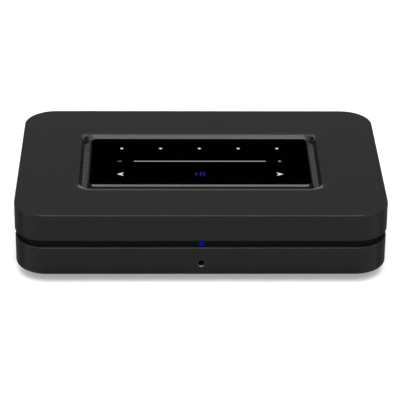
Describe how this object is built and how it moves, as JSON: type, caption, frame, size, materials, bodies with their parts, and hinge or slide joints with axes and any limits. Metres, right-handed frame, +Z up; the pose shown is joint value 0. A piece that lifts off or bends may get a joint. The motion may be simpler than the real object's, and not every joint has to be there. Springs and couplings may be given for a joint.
{
  "type": "network music streamer",
  "caption": "Flat rounded case with a sunken touch panel, a front headphone jack and a rear bay of audio sockets; plays network music into an amplifier or headphones.",
  "frame": {"origin": "centre of the footprint, on the surface that the rubber ring stands on", "axes": "+X to the right seen from the front, +Y from the front to the rear sockets, +Z up"},
  "size_m": [0.22, 0.146, 0.046],
  "materials": {
    "case_plastic": "fine satin texture, near black",
    "frame_plastic": "satin black",
    "inner_plastic": "matte black",
    "panel_plastic": "satin black",
    "grille_metal": "punched sheet, painted dark grey",
    "foot_rubber": "matte",
    "panel_glass": "polished black glass, opaque from its printed back",
    "icon_white": "translucent, lit white from below",
    "icon_blue": "translucent, lit blue from below",
    "tape_foam": "soft adhesive foam",
    "board_laminate": "green solder mask",
    "lamp_package": "clear moulded package",
    "screw_steel": "black oxide",
    "part_black": "moulded, black",
    "lens_blue": "translucent, lit blue",
    "bright_metal": "bright plated",
    "gold_metal": "gold plated",
    "sink_aluminium": "anodised",
    "lead_jacket": "extruded jacket",
    "ribbon_film": "white film",
    "winding_tape": "yellow winding tape over dark ferrite",
    "ferrite": "dark sintered ferrite",
    "film_box": "potted plastic box",
    "fuse_glass": "glass tube with metal caps"
  },
  "bodies": {
    "case": {"top_case": "case_plastic", "bottom_case": "case_plastic", "foot_ring": "foot_rubber", "mid_band": "inner_plastic", "vent_grille": "grille_metal", "touch_frame": "frame_plastic", "touch_glass": "panel_glass", "white_icons": "icon_white", "play_icon": "icon_blue", "glass_tape": "tape_foam", "light_mask": "inner_plastic", "touch_board": "board_laminate", "indicator_leds": "lamp_package", "case_screws": "screw_steel", "frame_screws": "screw_steel", "board_screws": "screw_steel", "panel_screws": "screw_steel", "main_board": "board_laminate", "supply_board": "board_laminate", "front_board": "board_laminate", "lamp_board": "board_laminate", "remote_receiver": "part_black", "status_lens": "lens_blue", "headphone_jack": "part_black", "jack_ring": "bright_metal", "rear_panel": "panel_plastic", "phono_bodies": "part_black", "phono_shells": "gold_metal", "phono_contacts": "gold_metal", "rear_jacks": "part_black", "optical_socket": "part_black", "usb_socket": "bright_metal", "hdmi_socket": "bright_metal", "contact_tongues": "part_black", "network_socket": "part_black", "network_contacts": "gold_metal", "mains_inlet": "part_black", "mains_pins": "bright_metal", "processor": "part_black", "thermal_pad": "tape_foam", "heat_sink": "sink_aluminium", "board_chips": "part_black", "audio_shield": "bright_metal", "audio_capacitors": "sink_aluminium", "wireless_module": "bright_metal", "antennas": "board_laminate", "antenna_leads": "lead_jacket", "cable_headers": "part_black", "flat_ribbons": "ribbon_film", "supply_wires": "lead_jacket", "bulk_capacitor": "sink_aluminium", "output_capacitors": "sink_aluminium", "transformer": "winding_tape", "mains_choke": "ferrite", "filter_capacitor": "film_box", "mains_fuse": "fuse_glass", "supply_heat_sink": "sink_aluminium", "insulation_sheet": "ribbon_film"},
    "shutter": {"optical_shutter": "part_black"}
  },
  "joints": [
    {"name": "shutter_hinge", "type": "hinge", "parent": "case", "child": "shutter", "pos_m": [-0.02409, 0.063, 0.0192], "axis": [-1, 0, 0], "range_deg": [0, 85], "stiffness_Nm_per_rad": 0.0002, "springref_deg": -17.19}
  ]
}
